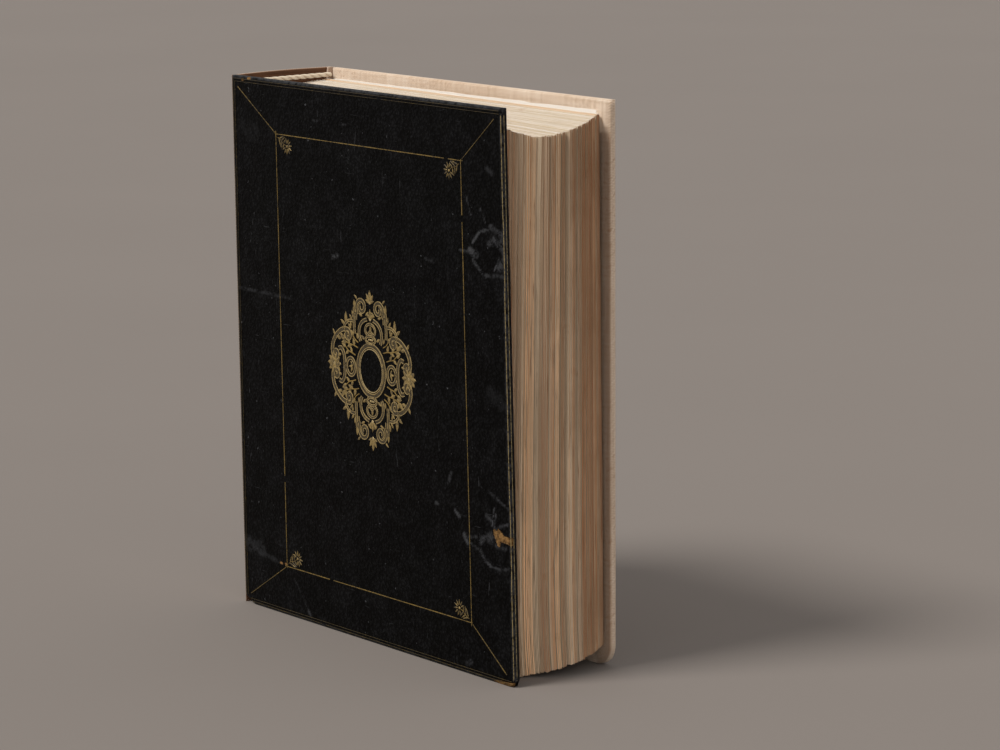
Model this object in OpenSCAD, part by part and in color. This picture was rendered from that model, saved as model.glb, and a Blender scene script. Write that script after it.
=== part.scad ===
// Prayer book: a closed, upright, hollow-back case binding.
// The front board is covered in gilt-tooled leather, the spine and the back board in linen.
// X runs from the spine to the fore edge, Y from the front board to the back board, Z up.

/* [Covers] */
// Height of both boards
cover_h = 250; // [200:1:300]
// Width of the covers, spine to fore edge
cover_w = 207.3; // [170:0.1:240]
// How much narrower the front board is at its head
head_short = 4; // [0:0.5:6]
// How much wider the back board is at its head
head_wide = 3; // [0:0.5:4]
// Thickness of the closed book over both covers
book_t = 57; // [50:1:70]
// Thickness of each board
board_t = 2.6; // [2:0.1:3]
// Thickness of the leather and of the linen
skin_t = 0.5; // [0.4:0.1:0.6]
// Width of the turn-ins inside the boards
turn_in = 15; // [8:1:20]
// Radius of the worn bottom corner of the back board
worn_r = 10; // [4:1:14]
// Size of the bruised bottom corner of the front board, at the fore edge
bruise = 2.5; // [1:0.5:4]
// Width of the corner that is worn off the front board's foot, at the spine
worn_w = 7.5; // [1:0.5:10]
// Height of that worn corner
worn_h = 4; // [1:0.5:6]
// Thickness of the pastedowns
paste_t = 0.2; // [0.2:0.1:0.3]

/* [Spine] */
// Height of the rounding of the spine
spine_rise = 4; // [2:0.5:6]
// Thickness of the card that stiffens the spine
card_t = 0.9; // [0.6:0.1:1.2]
// Radius of the linen roll in the back joint
roll_r = 2.4; // [1.5:0.1:2.6]

/* [Book block] */
// Thickness of the whole block, leaves between the halves included
block_t = 47.8; // [40:0.1:48]
// Height of the block
block_h = 233.5; // [190:0.1:285]
// Height of the block's foot above the floor, at the spine
block_z = 11.7; // [8:0.1:13]
// Gap between the covers' spine edge and the folds of the gatherings
fold_x = 4.4; // [3:0.1:6]
// How far short of the cover the first gathering ends
first_short = 12.5; // [6:0.5:14]
// How far short of the cover the last gathering ends
last_short = 3; // [2:0.5:8]
// How far the middle of the fore edge stands out
fore_bulge = 10; // [4:0.5:12]
// How far the head of the first gathering leans out past its middle
fore_lean = 5.5; // [0:0.5:7]
// Drop of the fore edge's head, per mm of thickness in front of the back board
head_sag = 0.22; // [0:0.01:0.24]
// Drop of the fore edge's foot, per mm of thickness in front of the back board
foot_sag = 0.24; // [0:0.01:0.26]
// How much the heads of the first leaves stand above that drop
flare = 7; // [0:0.5:8]

/* [Headbands] */
// Radius of the headband roll
band_r = 1.1; // [0.8:0.1:1.3]
// Distance between two beads of the headband
bead_pitch = 2; // [1.6:0.1:3]

/* [Tooling] */
// Thickness of the gold on the leather
gilt_t = 0.12; // [0.1:0.01:0.2]
// Width of the tooled lines
line_w = 0.6; // [0.4:0.1:1]
// Half width of the centre ornament
orn_w = 33; // [24:1:40]
// Half height of the centre ornament
orn_h = 36; // [28:1:44]

/* [Hidden] */
$fn = 48;
$fn_arc = 180;                             // facets of the spine's wide arcs
eps = 1;                                   // overshoot of cutting shapes
clear = 0.3;                               // gap between pieces that move apart
folds = ["01", "02", "03", "04", "05", "06", "07", "08", "09", "10"];
half_count = len(folds);                   // gatherings in each half of the block
ragged = [0.3, -0.2, 0.5, 0.1, -0.4, 0.2, 0.6, -0.1, 0.4, -0.3];
leaf_t = 0.15;                             // one loose leaf
leaf_gap = 0.2;                            // air beside each loose leaf
leaves = 3;
flare_share = 0.32;                        // part of the block over which the heads flare
cover_t = board_t + 2 * skin_t;            // board with its skin turned in
mid_y = book_t / 2;
middle_t = leaves * leaf_t + (leaves + 1) * leaf_gap;
half_t = (block_t - middle_t) / 2;
pitch = half_t / half_count;
front_y = mid_y - block_t / 2;             // front face of the block
half_y = mid_y + middle_t / 2;             // front face of the rear half
block_top = block_z + block_h;
hinge_r = (pow(book_t / 2, 2) + spine_rise * spine_rise) / (2 * spine_rise);
arc_x = hinge_r - spine_rise;              // centre of the spine's arc
spine_ends = [4.2, book_t - clear];        // where the spine starts and stops in Y
y_mid = (book_t - gilt_t) / 2;
lining_t = 0.4;
orn_x = cover_w * 0.518;                   // centre of the cover's ornament
orn_z = cover_h * 0.501;
frame_x = [cover_w * 0.174, cover_w * 0.859];
frame_z = [cover_h * 0.094, cover_h * 0.902];

// ---- helpers -------------------------------------------------------------

// A block given by its lowest and highest corners
module slab(low, high) {
    translate(low) cube(high - low);
}

// A flat outline in X and Z, made solid between two depths
module upright(y_low, y_high) {
    translate([0, y_high, 0]) rotate([90, 0, 0]) linear_extrude(y_high - y_low) children();
}

// Gold laid on the outside of the front cover
module gold() {
    color("goldenrod") upright(-gilt_t, 0) children();
}

// A place on the front cover, drawn in with the board's narrower head
function spot(x, z) = [x * (1 - head_short / cover_w * z / cover_h), z];

// How far through the block a page at depth y is, from 0 to 1
function share(y) = (y - front_y) / block_t;

// Where the fore edge of a page at depth y lies, halfway up
function fore_x(y) =
    let (u = share(y))
    cover_w - first_short + (first_short - last_short) * u + fore_bulge * sin(180 * u);

// How far the page's head leans out and its foot in
function lean(y) = fore_lean * (1 - share(y));

// How far the head and the foot of a page hang at the fore edge
function head_drop(y) =
    head_sag * (book_t - y) - flare * pow(max(0, 1 - share(y) / flare_share), 1.5);
function foot_drop(y) = foot_sag * (book_t - y);

// The furthest that any gathering reaches
reach_x = max([for (start = [front_y, half_y], k = [0 : half_count - 1])
    let (y = start + pitch * (k + 0.5)) fore_x(y) + lean(y) + ragged[k % len(ragged)]]);
x_mid = (reach_x - spine_rise) / 2;        // middle of the whole book's box

// The outline of a page at depth y: square at the folds, hanging at the fore edge
module page(y, shorter = 0, rough = 0) {
    far = fore_x(y) - shorter + rough;
    near_drop = foot_drop(y) / 4;
    polygon([[fold_x, block_z - near_drop],
             [far - lean(y), max(clear, block_z - foot_drop(y)) + shorter / 2],
             [far + lean(y), block_top - head_drop(y) - shorter / 2 + rough / 2],
             [fold_x, block_top - near_drop]]);
}

// ---- front cover ---------------------------------------------------------

// The front cover's outline, drawn in by inset, with its bruised corners
module front_outline(inset, near) {
    cut = bruise;
    polygon([[near, worn_h], [near + worn_w, inset], [cover_w - inset - cut / 2, inset],
             [cover_w - inset, inset + cut], [cover_w - head_short - inset, cover_h - inset],
             [near, cover_h - inset]]);
}

module front_board() {
    color("saddlebrown")
    upright(skin_t, skin_t + board_t) front_outline(skin_t, skin_t);
}

// Leather over the outside, turned in over the head, the tail and the fore edge
module front_leather() {
    color("black")
    difference() {
        upright(0, cover_t) front_outline(0, 0);
        upright(skin_t, skin_t + board_t) front_outline(skin_t, skin_t);
        slab([-eps, skin_t, -eps], [skin_t, cover_t + eps, cover_h + eps]);
        slab([-eps, skin_t + board_t, turn_in],
             [cover_w - head_short - turn_in, cover_t + eps, cover_h - turn_in]);
    }
}

module front_pastedown() {
    color("antiquewhite")
    slab([fold_x, cover_t, 5], [cover_w - head_short - 6, cover_t + paste_t, cover_h - 5]);
}

module front_flyleaf() {
    color("antiquewhite")
    upright(front_y - clear - paste_t, front_y - clear) page(front_y, 1);
}

// ---- gold tooling --------------------------------------------------------

// A straight line from one point to another
module line(a, b) {
    run = b - a;
    translate(a) rotate(atan2(run[1], run[0])) translate([0, -line_w / 2])
        square([norm(run), line_w]);
}

// Four lines that cross at the corners of a frame on the front cover
module crossed_frame(x, z, over) {
    for (h = z) line(spot(x[0] - over, h), spot(x[1] + over, h));
    for (v = x) line(spot(v, z[0] - over), spot(v, z[1] + over));
}

module gilt_outer_fillets() {
    gold() for (inset = [1.4, 3])
        crossed_frame([inset, cover_w - inset], [inset + 1.6, cover_h - inset], 0);
}

module gilt_inner_frame() {
    gold() crossed_frame(frame_x, frame_z, 1.5);
}

module gilt_mitre_lines() {
    outer = 5;
    reach = 2.5;
    gold() for (i = [0, 1], j = [0, 1]) {
        corner = spot(i == 0 ? outer : cover_w - outer, j == 0 ? outer : cover_h - outer);
        inner = spot(frame_x[i] + (i == 0 ? -reach : reach), frame_z[j] + (j == 0 ? -reach : reach));
        line(corner, inner);
    }
}

// A leaf between two arcs, from the origin along X
module leaf(length, width) {
    r = (length * length / 4 + width * width / 4) / width;
    intersection() {
        translate([length / 2, r - width / 2]) circle(r);
        translate([length / 2, width / 2 - r]) circle(r);
    }
}

// A small flower on a stalk, from the origin along X
module fleuron(size) {
    translate([size * 0.62, 0]) circle(size * 0.1);
    for (a = [-104, -52, 0, 52, 104])
        translate([size * 0.62, 0]) rotate(a) translate([size * 0.14, 0]) leaf(size * 0.3, size * 0.17);
    translate([size * 0.14, 0]) leaf(size * 0.34, size * 0.08);
    for (s = [-1, 1]) rotate(s * 38) translate([size * 0.06, 0]) leaf(size * 0.36, size * 0.13);
}

module gilt_corner_fleurons() {
    inset = 1.6;
    gold() for (i = [0, 1], j = [0, 1])
        translate(spot(frame_x[i] + (i == 0 ? inset : -inset),
                       frame_z[j] + (j == 0 ? inset : -inset)))
            rotate(atan2(j == 0 ? 1 : -1, i == 0 ? 1 : -1)) fleuron(9.5);
}

// A band of a ring, from one angle to another
module scroll(r, w, from, to) {
    intersection() {
        difference() {
            circle(r);
            circle(r - w);
        }
        polygon([[0, 0], for (k = [0 : 6]) 2 * r * [cos(from + k * (to - from) / 6),
                                                    sin(from + k * (to - from) / 6)]]);
    }
}

// The oval line round the empty middle
module oval(half_x, half_z, w) {
    steps = 48;
    difference() {
        polygon([for (k = [0 : steps - 1]) [half_x * cos(360 * k / steps), half_z * sin(360 * k / steps)]]);
        polygon([for (k = [0 : steps - 1]) [(half_x - w) * cos(360 * k / steps),
                                            (half_z - w) * sin(360 * k / steps)]]);
    }
}

// One quarter of the ornament, right of the middle and above it
module ornament_quarter() {
    translate([orn_w * 0.34, orn_h * 0.54]) scroll(orn_w * 0.25, 1.5, -60, 200);
    translate([orn_w * 0.72, orn_h * 0.3]) scroll(orn_w * 0.24, 1.5, -75, 185);
    translate([orn_w * 0.34, orn_h * 0.54]) circle(1.5);
    translate([orn_w * 0.72, orn_h * 0.3]) circle(1.5);
    translate([orn_w * 0.16, orn_h * 0.82]) rotate(48) leaf(9, 3);
    translate([orn_w * 0.62, orn_h * 0.62]) rotate(38) leaf(9, 3.4);
    translate([orn_w * 0.56, orn_h * 0.7]) rotate(75) leaf(7, 2.6);
    translate([orn_w * 0.94, orn_h * 0.09]) rotate(62) leaf(6, 2.2);
}

module gilt_centre_ornament() {
    gold() translate(spot(orn_x, orn_z)) {
        oval(9.6, 11.6, 0.7);
        oval(11.4, 13.4, 0.7);
        for (flip_x = [0, 1], flip_z = [0, 1])
            mirror([flip_x, 0]) mirror([0, flip_z]) ornament_quarter();
        for (turn = [90, 270]) rotate(turn) translate([orn_h * 0.62, 0]) fleuron(12);
        for (turn = [0, 180]) rotate(turn) translate([orn_w * 0.47, 0]) fleuron(13);
    }
}

// ---- back cover ----------------------------------------------------------

// The back cover's outline, drawn in by inset, with its worn bottom corner
module back_outline(inset, near, r) {
    wide = cover_w - inset;
    difference() {
        polygon([[near, inset], [wide, inset], [wide + head_wide, cover_h - inset],
                 [near, cover_h - inset]]);
        difference() {
            translate([wide - r, inset - eps]) square([r + eps, r + eps]);
            translate([wide - r, inset + r]) circle(r);
        }
    }
}

module back_board() {
    color("peru")
    upright(book_t - skin_t - board_t, book_t - skin_t)
        back_outline(skin_t, 2 * roll_r + skin_t, worn_r - skin_t);
}

// Linen over the outside, turned in over three edges, with a roll in the joint
module back_linen() {
    near = 2 * roll_r;
    color("tan") {
        difference() {
            upright(book_t - cover_t, book_t) back_outline(0, near, worn_r);
            upright(book_t - skin_t - board_t, book_t - skin_t)
                back_outline(skin_t, near + skin_t, worn_r - skin_t);
            slab([near - eps, book_t - cover_t - eps, turn_in],
                 [cover_w - turn_in, book_t - cover_t + skin_t, cover_h - turn_in]);
        }
        translate([roll_r, book_t - roll_r, 0]) cylinder(r = roll_r, h = cover_h);
    }
}

module back_pastedown() {
    color("antiquewhite")
    slab([2 * roll_r + 1, book_t - cover_t - paste_t, 12],
         [cover_w - 6, book_t - cover_t, cover_h - 5]);
}

module back_flyleaf() {
    color("sandybrown")
    upright(mid_y + block_t / 2 + clear, mid_y + block_t / 2 + clear + paste_t)
        page(mid_y + block_t / 2, 1);
}

// ---- spine ---------------------------------------------------------------

// A layer of the spine's arc: depth from the outside, thickness, and its ends in Y
module arc_layer(depth, thickness, y_low, y_high, z_low, z_high) {
    intersection() {
        translate([arc_x, mid_y, z_low]) difference() {
            cylinder(r = hinge_r - depth, h = z_high - z_low, $fn = $fn_arc);
            translate([0, 0, -eps])
                cylinder(r = hinge_r - depth - thickness, h = z_high - z_low + 2 * eps, $fn = $fn_arc);
        }
        slab([-2 * spine_rise, y_low, z_low], [-clear / 2, y_high, z_high]);
    }
}

// Linen over the spine card, turned in at the head and the tail
module spine_linen(y_low, y_high) {
    color("tan")
    difference() {
        arc_layer(0, card_t + 2 * skin_t, y_low, y_high, 0, cover_h);
        arc_layer(skin_t, card_t, y_low - eps, y_high + eps, skin_t, cover_h - skin_t);
        arc_layer(skin_t + card_t - 0.01, skin_t + eps, y_low - eps, y_high + eps,
                  turn_in, cover_h - turn_in);
    }
}

module spine_card(y_low, y_high) {
    color("sienna") arc_layer(skin_t, card_t, y_low, y_high, skin_t, cover_h - skin_t);
}

module spine_linen_front() { spine_linen(spine_ends[0], mid_y - clear / 2); }
module spine_linen_back() { spine_linen(mid_y + clear / 2, spine_ends[1]); }
module spine_card_front() { spine_card(spine_ends[0], mid_y - clear / 2); }
module spine_card_back() { spine_card(mid_y + clear / 2, spine_ends[1]); }

// ---- book block ----------------------------------------------------------

// One folded gathering, the index-th of a half that starts at depth y_start
module gathering(y_start, index) {
    y = y_start + pitch * index;
    color("cornsilk")
    upright(y, y + pitch) page(y + pitch / 2, 0, ragged[index % len(ragged)]);
}

// Paper glued over the folds of one half
module lining(y_low, y_high) {
    low = block_z + 4;
    color("burlywood")
    slab([fold_x - lining_t, y_low, low], [fold_x, y_high, block_top - 12]);
}

module lining_front() { lining(front_y, front_y + half_t); }
module lining_back() { lining(half_y, half_y + half_t); }

// A beaded roll on the folds of one half, at height z
module beaded_band(y_low, y_high, z) {
    beads = floor((y_high - y_low) / bead_pitch);
    margin = (y_high - y_low - beads * bead_pitch) / 2;
    color("ivory") translate([fold_x + band_r, y_low, z]) {
        rotate([-90, 0, 0]) cylinder(r = band_r * 0.75, h = y_high - y_low);
        for (k = [0 : beads - 1])
            translate([0, margin + bead_pitch * (k + 0.5), 0]) sphere(band_r);
    }
}

head_z = block_top + band_r * 1.6;
tail_z = block_z - foot_drop(front_y) / 4 - band_r * 1.6;
module headband_front() { beaded_band(front_y, front_y + half_t, head_z); }
module headband_back() { beaded_band(half_y, half_y + half_t, head_z); }
module tailband_front() { beaded_band(front_y, front_y + half_t, tail_z); }
module tailband_back() { beaded_band(half_y, half_y + half_t, tail_z); }

// A single leaf between the two halves
module loose_leaf(index) {
    y = mid_y - middle_t / 2 + leaf_gap + index * (leaf_t + leaf_gap);
    color("cornsilk") upright(y, y + leaf_t) page(mid_y, 1 + index * 0.3);
}

module leaf_1() { loose_leaf(0); }
module leaf_2() { loose_leaf(1); }
module leaf_3() { loose_leaf(2); }

// ---- assembly ------------------------------------------------------------

translate([-x_mid, -y_mid, 0]) {
    front_board();
    front_leather();
    front_pastedown();
    gilt_outer_fillets();
    gilt_inner_frame();
    gilt_mitre_lines();
    gilt_corner_fleurons();
    gilt_centre_ornament();
    front_flyleaf();
    back_board();
    back_linen();
    back_pastedown();
    back_flyleaf();
    spine_card_front();
    spine_card_back();
    spine_linen_front();
    spine_linen_back();
    lining_front();
    lining_back();
    headband_front();
    headband_back();
    tailband_front();
    tailband_back();
    leaf_1();
    leaf_2();
    leaf_3();
    for (k = [0 : half_count - 1]) {
        gathering(front_y, k);
        gathering(half_y, k);
    }
}
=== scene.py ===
"""The looks of the prayer book: leather, gold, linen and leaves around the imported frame."""

import math
import random

import bpy
import numpy as np
from mathutils import Matrix, Vector


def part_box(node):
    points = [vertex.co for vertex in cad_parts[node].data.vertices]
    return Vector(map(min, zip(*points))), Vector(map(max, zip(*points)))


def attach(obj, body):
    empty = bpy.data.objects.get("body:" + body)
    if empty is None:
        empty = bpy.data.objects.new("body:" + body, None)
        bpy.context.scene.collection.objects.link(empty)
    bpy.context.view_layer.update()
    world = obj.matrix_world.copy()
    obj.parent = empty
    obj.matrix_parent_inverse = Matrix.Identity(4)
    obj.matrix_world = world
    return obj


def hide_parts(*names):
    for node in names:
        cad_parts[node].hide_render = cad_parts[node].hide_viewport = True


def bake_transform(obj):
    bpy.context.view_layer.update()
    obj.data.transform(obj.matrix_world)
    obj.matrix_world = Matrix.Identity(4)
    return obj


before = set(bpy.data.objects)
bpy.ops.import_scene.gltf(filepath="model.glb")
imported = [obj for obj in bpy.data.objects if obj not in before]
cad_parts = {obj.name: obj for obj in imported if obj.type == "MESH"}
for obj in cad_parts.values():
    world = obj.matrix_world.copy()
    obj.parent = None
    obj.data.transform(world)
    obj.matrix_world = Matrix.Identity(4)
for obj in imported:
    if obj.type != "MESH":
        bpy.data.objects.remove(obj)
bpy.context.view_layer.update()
MM = 0.001

# ---- places, all from the frame -------------------------------------------

LEATHER_LOW, LEATHER_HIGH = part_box("front_leather")
LINEN_LOW, LINEN_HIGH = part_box("back_linen")
SPINE_X = LEATHER_LOW.x
FORE_X = LEATHER_HIGH.x
FRONT_Y = LEATHER_LOW.y
BACK_Y = LINEN_HIGH.y
HEAD_Z = LEATHER_HIGH.z
COVER_W = FORE_X - SPINE_X
COVER_T = LEATHER_HIGH.y - LEATHER_LOW.y
BOOK_T = BACK_Y - FRONT_Y
MID_Y = (FRONT_Y + BACK_Y) / 2
SKIN = 0.5 * MM
TURN_IN = 15 * MM
EDGE_ROUND = 0.9 * MM
HEAD_SHORT = 4 * MM                          # how much narrower the front board is at its head
HEAD_WIDE = LINEN_HIGH.x - FORE_X            # how much wider the back board is at its head
SPINE_RISE = SPINE_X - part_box("spine_linen_back")[0].x
FOLD_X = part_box("front_gathering_01")[0].x
HALF = 10


# ---- materials -------------------------------------------------------------

class Value:
    """A node's output, with arithmetic that adds the nodes for it."""

    def __init__(self, nodes, socket):
        self.nodes = nodes
        self.socket = socket

    def __add__(self, other):
        return self.nodes.math("ADD", self, other)

    def __sub__(self, other):
        return self.nodes.math("SUBTRACT", self, other)

    def __rsub__(self, other):
        return self.nodes.math("SUBTRACT", other, self)

    def __mul__(self, other):
        return self.nodes.math("MULTIPLY", self, other)


class Nodes:
    """A short way to write a procedural material."""

    def __init__(self, name):
        self.material = bpy.data.materials.new(name)
        self.material.use_nodes = True
        self.tree = self.material.node_tree
        self.tree.nodes.clear()
        surface = self.tree.nodes.new("ShaderNodeOutputMaterial").inputs["Surface"]
        self.shader = self.tree.nodes.new("ShaderNodeBsdfPrincipled")
        self.tree.links.new(self.shader.outputs[0], surface)

    def put(self, socket, value):
        """A value, a colour or another node's output goes into a socket."""
        if isinstance(value, Value):
            self.tree.links.new(value.socket, socket)
        elif socket.type == "RGBA":
            socket.default_value = (*value, 1)
        else:
            socket.default_value = value

    def node(self, kind, output, inputs, **settings):
        """A new node: its inputs by name or number, its settings by keyword; gives one of its outputs."""
        node = self.tree.nodes.new("ShaderNode" + kind)
        for name, value in settings.items():
            setattr(node, name, value)
        for key, value in inputs.items():
            self.put(node.inputs[key], value)
        return Value(self, node.outputs[output])

    def coords(self):
        return self.node("TexCoord", "Object", {})

    def attribute(self, name, output="Fac"):
        return self.node("Attribute", output, {}, attribute_name=name)

    def stretch(self, vector, scale):
        return self.node("Mapping", "Vector", {"Vector": vector, "Scale": scale})

    def noise(self, vector, scale, detail=4, rough=0.55, warp=0.0):
        return self.node("TexNoise", "Fac", {"Vector": vector, "Scale": scale, "Detail": detail,
                                             "Roughness": rough, "Distortion": warp})

    def cells(self, vector, scale, feature="F1"):
        return self.node("TexVoronoi", "Distance", {"Vector": vector, "Scale": scale}, feature=feature)

    def math(self, kind, a, b=0.0, clamp=False):
        return self.node("Math", 0, {0: a, 1: b}, operation=kind, use_clamp=clamp)

    def ramp(self, value, low, high):
        """0 at low and beyond, 1 at high and beyond, smooth between; low may be the larger of the two."""
        return self.node("MapRange", "Result", {"Value": value, "From Min": low, "From Max": high},
                         interpolation_type="SMOOTHSTEP")

    def spread(self, value, low, high):
        """Takes 0..1 to low..high."""
        return self.node("MapRange", "Result", {"Value": value, "To Min": low, "To Max": high})

    def mix(self, share, a, b):
        """Colour a where the share is 0, colour b where it is 1."""
        return self.node("Mix", 2, {0: share, 6: a, 7: b}, data_type="RGBA")

    def color_ramp(self, value, stops):
        made = self.node("ValToRGB", 0, {0: value})
        elements = made.socket.node.color_ramp.elements
        while len(elements) < len(stops):
            elements.new(0.5)
        for element, (place, color) in zip(elements, stops):
            element.position = place
            element.color = (*color, 1)
        return made

    def bump(self, height, distance, strength):
        return self.node("Bump", "Normal", {"Height": height, "Distance": distance, "Strength": strength})

    def finish(self, **sockets):
        for name, value in sockets.items():
            name = name.replace("_", " ").title().replace("Ior", "IOR")
            self.put(self.shader.inputs[name], value)
        return self.material


def black_leather():
    m = Nodes("black_leather")
    co = m.coords()
    pebbles = m.cells(co, 780, "SMOOTH_F1")
    pits = m.noise(co, 1700, 3)
    broad = m.noise(co, 22, 5)
    cloud = m.noise(co, 70, 6, 0.65, 0.6)
    scratch = m.ramp(m.noise(m.stretch(co, (9, 9, 1)), 95, 3, 0.6, 1.2), 0.66, 0.73)
    cross = m.ramp(m.noise(m.stretch(co, (1, 1, 12)), 80, 3, 0.6, 1.0), 0.69, 0.75)
    flecks = m.ramp(m.noise(co, 380, 3, 0.6), 0.70, 0.75)
    wear = m.attribute("wear")
    scuffed = wear * m.ramp(m.noise(co, 330, 5, 0.75, 0.4), 0.36, 0.60)
    lines = m.math("MAXIMUM", scratch, cross) * m.ramp(broad, 0.40, 0.60)
    marks = m.math("MAXIMUM", scuffed, m.math("MAXIMUM", lines * 0.5, flecks), True)
    # Painted highlight: the crowns of the pebbles are lightened in colour, most in the smoky patches.
    painted_pebble_highlight = m.ramp(pebbles, 0.5, 0.12)
    smoky = m.ramp(cloud, 0.42, 0.72)
    base = m.mix(smoky, (0.0001, 0.0001, 0.0001), (0.0022, 0.0022, 0.0025))
    base = m.mix(painted_pebble_highlight * m.spread(smoky, 0.35, 0.9), base, (0.0088, 0.0091, 0.0099))
    base = m.mix(marks, base, (0.060, 0.062, 0.067))
    torn = m.ramp(m.attribute("torn") + m.noise(co, 260, 4, 0.7) * 0.8, 0.80, 1.0)
    fibre = m.mix(m.ramp(m.noise(co, 420, 5, 0.7), 0.35, 0.65), (0.050, 0.026, 0.009), (0.235, 0.130, 0.048))
    base = m.mix(torn, base, fibre)
    rough = m.spread(m.math("MAXIMUM", marks, torn), 0.42, 0.8)
    height = pebbles * -0.8 + pits * 0.25 - lines * 0.4 - torn * 0.8
    return m.finish(base_color=base, roughness=rough, normal=m.bump(height, 0.30 * MM, 0.8),
                    specular_ior_level=0.055)


def gold():
    """Old gold leaf; the attribute dull says how far a stretch of it is rubbed."""
    m = Nodes("worn_gold")
    co = m.coords()
    cloud = m.noise(co, 300, 5, 0.7)
    dull = m.attribute("dull")
    rubbed = m.ramp(m.noise(co, 750, 4, 0.75) + dull * 0.16, 0.50, 0.66)
    tone = m.mix(cloud, (0.15, 0.098, 0.026), (0.42, 0.285, 0.078))
    tone = m.mix(m.attribute("lit"), tone, (0.66, 0.53, 0.29))
    tone = m.mix(dull * 0.75, tone, (0.095, 0.068, 0.022))
    tone = m.mix(rubbed * 0.8, tone, (0.016, 0.013, 0.009))
    grain = m.noise(co, 2600, 3)
    return m.finish(base_color=tone, metallic=m.spread(rubbed, 0.45, 0.1),
                    roughness=m.spread(cloud, 0.36, 0.58), normal=m.bump(grain, 0.05 * MM, 0.5))


THREAD_PITCH = 1.15 * MM                      # from one linen thread over the weave to the next


def linen():
    """A plain weave in cloth coordinates: u and v in metres along the two threads."""
    m = Nodes("natural_linen")
    thread = 2 * math.pi / THREAD_PITCH
    cloth = m.attribute("cloth", "Vector")
    wobble = m.noise(cloth, 260, 4, 0.6) * 1.7
    u, v = (m.node("SeparateXYZ", axis, {0: cloth}) * thread + wobble for axis in "XY")
    over = m.math("SINE", u) * m.math("SINE", v)
    warp = m.math("ABSOLUTE", m.math("COSINE", u))
    weft = m.math("ABSOLUTE", m.math("COSINE", v))
    weave = over * 0.35 + warp * weft * 0.65
    high = m.ramp(weave, -0.1, 0.75)
    long_u = m.noise(m.stretch(cloth, (1, 26, 1)), 30, 4, 0.6)
    long_v = m.noise(m.stretch(cloth, (26, 1, 1)), 30, 4, 0.6)
    streak = (long_u + long_v) * 0.5
    stain = m.noise(cloth, 13, 5, 0.6)
    base = m.color_ramp(streak, [(0.36, (0.62, 0.48, 0.35)), (0.5, (0.80, 0.66, 0.52)),
                                 (0.64, (0.90, 0.79, 0.66))])
    base = m.mix(m.ramp(stain, 0.42, 0.72) * 0.5, base, (0.60, 0.44, 0.30))
    base = m.mix((1.0 - high) * 0.6, base, (0.36, 0.215, 0.12))
    speckle = m.ramp(m.noise(cloth, 620, 3, 0.6), 0.54, 0.66)
    patchy = m.ramp(m.noise(cloth, 26, 3), 0.35, 0.6)
    base = m.mix(speckle * patchy * 0.6, base, (0.40, 0.235, 0.135))
    # inside is painted shade: dark brown and without sheen on the hollow spine's inner face, the joint roll's
    # shaded side and the back board's inner face in the block's shadow.
    inside = m.attribute("inside")
    base = m.mix(inside, base, (0.150, 0.068, 0.033))
    height = weave + m.noise(cloth, 2400, 2) * 0.25
    return m.finish(base_color=base, roughness=0.9, normal=m.bump(height, 0.28 * MM, 0.8),
                    sheen_weight=m.spread(inside, 0.25, 0.0), sheen_roughness=0.5, specular_ior_level=0.2)


def leaf_edges():
    """Leaves: tone and hue differ from leaf to leaf; the fore edge is browner towards the back and the head,
    and paler at the foot in front, which is painted light.
    """
    m = Nodes("leaf_paper")
    co = m.coords()
    tone = m.attribute("tone")
    hue = m.attribute("hue")
    fore = m.attribute("fore")
    head = m.attribute("head")
    tall = m.noise(m.stretch(co, (1, 1, 0.05)), 900, 3, 0.6)
    fine = m.noise(co, 1500, 4, 0.6)
    soil = m.noise(co, 24, 5, 0.65)
    face = m.mix(m.noise(co, 17, 5, 0.6), (0.52, 0.42, 0.29), (0.72, 0.63, 0.49))
    face = m.mix(fine * 0.25, face, (0.44, 0.33, 0.21))
    face = m.mix(m.ramp(m.noise(co, 80, 4, 0.55), 0.64, 0.74) * 0.5, face, (0.38, 0.21, 0.10))
    top = m.mix(m.noise(m.stretch(co, (0.05, 1, 1)), 1100, 3), (0.66, 0.62, 0.58), (0.79, 0.76, 0.73))
    top = m.mix((1.0 - tone) * 0.25, top, (0.50, 0.41, 0.32))
    top = m.mix(m.attribute("bleached"), top, (0.86, 0.835, 0.80))
    top = m.mix(m.attribute("rusty") * 0.9, top, (0.70, 0.40, 0.22))
    warm = m.mix(hue, (0.45, 0.318, 0.205), (0.49, 0.205, 0.090))
    pale = m.mix(hue, (1.0, 0.83, 0.625), (0.97, 0.62, 0.36))
    side = m.mix(tone, warm, pale)
    side = m.mix(m.ramp(tall, 0.52, 0.75), side, (0.22, 0.11, 0.055))
    # The fore edge is browner towards the back and the head; its pale patch at the front foot, with less soil
    # there, is painted light.
    brown_and_painted_shading = m.attribute("brown_and_painted_shading")
    side = m.mix(m.ramp(soil, 0.38, 0.68) * m.spread(brown_and_painted_shading, 0.15, 0.6), side, (0.26, 0.15, 0.085))
    side = m.mix(brown_and_painted_shading * 0.72, side, (0.215, 0.092, 0.038))
    base = m.mix(head, face, top)
    base = m.mix(fore, base, side)
    return m.finish(base_color=base, roughness=0.88, normal=m.bump(fine * 0.5 + tall, 0.12 * MM, 0.6),
                    specular_ior_level=0.2)


def endpaper():
    m = Nodes("endpaper")
    co = m.coords()
    fibre = m.noise(co, 1400, 4, 0.7)
    cloud = m.noise(co, 16, 5, 0.6)
    foxing = m.ramp(m.noise(co, 85, 4, 0.55), 0.66, 0.76)
    base = m.mix(cloud, (0.58, 0.49, 0.36), (0.74, 0.66, 0.52))
    base = m.mix(fibre * 0.22, base, (0.50, 0.38, 0.25))
    base = m.mix(foxing * 0.55, base, (0.36, 0.19, 0.08))
    base = m.mix(m.attribute("bleached"), base, (0.83, 0.795, 0.75))
    return m.finish(base_color=base, roughness=0.9, normal=m.bump(fibre, 0.08 * MM, 0.5),
                    specular_ior_level=0.2)


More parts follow.
